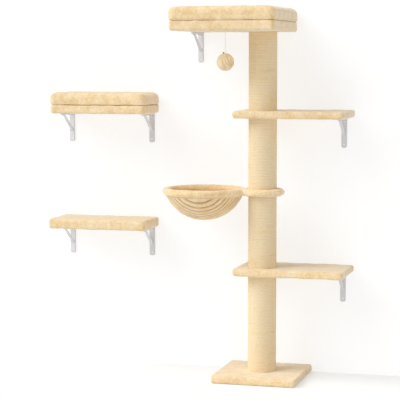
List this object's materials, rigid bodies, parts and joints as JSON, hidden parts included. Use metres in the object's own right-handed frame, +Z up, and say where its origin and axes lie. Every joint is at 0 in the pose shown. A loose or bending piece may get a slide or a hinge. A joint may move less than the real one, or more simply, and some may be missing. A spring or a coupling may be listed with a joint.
{
  "type": "wall mounted cat tree",
  "caption": "Tall cat tree on one wrapped post with a base, shelves, a hanging basket bed, a cushioned perch and a hanging ball, and separate wall shelves, held to a wall by steel brackets.",
  "frame": {"origin": "on the floor, at the base's underside below the post's axis", "axes": "+X to the right along the wall, +Y towards the wall, +Z up"},
  "size_m": [1.211, 0.42, 1.4435],
  "materials": {
    "plush": "warm cream short pile plush",
    "sisal": "natural sisal rope, wound tight",
    "particle_board": "raw particle board",
    "cardboard": "wound cardboard tube",
    "foam": "soft foam",
    "zinc_steel": "zinc plated",
    "bracket_paint": "light grey powder coat",
    "toy_cord": "thin white cord",
    "toy_ball": "cream plush ball",
    "dark_thread": "dark thread knot"
  },
  "bodies": {
    "tree": {"base_board": "particle_board", "base_cover": "plush", "lower_shelf_board": "particle_board", "lower_shelf_cover": "plush", "upper_shelf_board": "particle_board", "upper_shelf_cover": "plush", "perch_board": "particle_board", "perch_cover": "plush", "pad_shelf_board": "particle_board", "pad_shelf_cover": "plush", "plain_shelf_board": "particle_board", "plain_shelf_cover": "plush", "post_sisal_1": "sisal", "post_tube_1": "cardboard", "post_plugs_1": "particle_board", "post_sisal_2": "sisal", "post_tube_2": "cardboard", "post_plugs_2": "particle_board", "post_sisal_3": "sisal", "post_tube_3": "cardboard", "post_plugs_3": "particle_board", "post_sisal_4": "sisal", "post_tube_4": "cardboard", "post_plugs_4": "particle_board", "base_stud": "zinc_steel", "lower_shelf_stud": "zinc_steel", "hammock_stud": "zinc_steel", "upper_shelf_stud": "zinc_steel", "perch_washer": "zinc_steel", "perch_bolt": "zinc_steel", "bracket_perch": "bracket_paint", "screws_perch": "zinc_steel", "bracket_upper_shelf": "bracket_paint", "screws_upper_shelf": "zinc_steel", "bracket_lower_shelf": "bracket_paint", "screws_lower_shelf": "zinc_steel", "bracket_pad_shelf_left": "bracket_paint", "screws_pad_shelf_left": "zinc_steel", "bracket_pad_shelf_right": "bracket_paint", "screws_pad_shelf_right": "zinc_steel", "bracket_plain_shelf_left": "bracket_paint", "screws_plain_shelf_left": "zinc_steel", "bracket_plain_shelf_right": "bracket_paint", "screws_plain_shelf_right": "zinc_steel"},
    "perch_cushion": {"perch_cushion_cover": "plush", "perch_cushion_foam": "foam"},
    "pad_shelf_cushion": {"pad_shelf_cushion_cover": "plush", "pad_shelf_cushion_foam": "foam"},
    "hammock": {"hammock_frame": "zinc_steel", "hammock_rim": "plush", "hammock_collar": "plush", "hammock_basket": "plush"},
    "toy_knot": {"toy_knot": "toy_cord"},
    "toy": {"toy_cord": "toy_cord", "toy_ball": "toy_ball", "toy_thread_end": "dark_thread"}
  },
  "joints": [
    {"name": "perch_cushion_lift", "type": "slide", "parent": "tree", "child": "perch_cushion", "axis": [0, 0, 1], "range_m": [0, 0.12]},
    {"name": "pad_shelf_cushion_lift", "type": "slide", "parent": "tree", "child": "pad_shelf_cushion", "axis": [0, 0, 1], "range_m": [0, 0.12]},
    {"name": "hammock_swivel", "type": "hinge", "parent": "tree", "child": "hammock", "pos_m": [0, 0, 0.7314], "axis": [0, 0, 1], "range_deg": [-6, 160]},
    {"name": "toy_swing_side", "type": "hinge", "parent": "tree", "child": "toy_knot", "pos_m": [-0.121, -0.11, 1.3486], "axis": [0, 1, 0], "range_deg": [-25, 60]},
    {"name": "toy_swing_front", "type": "hinge", "parent": "toy_knot", "child": "toy", "pos_m": [-0.121, -0.11, 1.3486], "axis": [1, 0, 0], "range_deg": [-50, 50]}
  ]
}
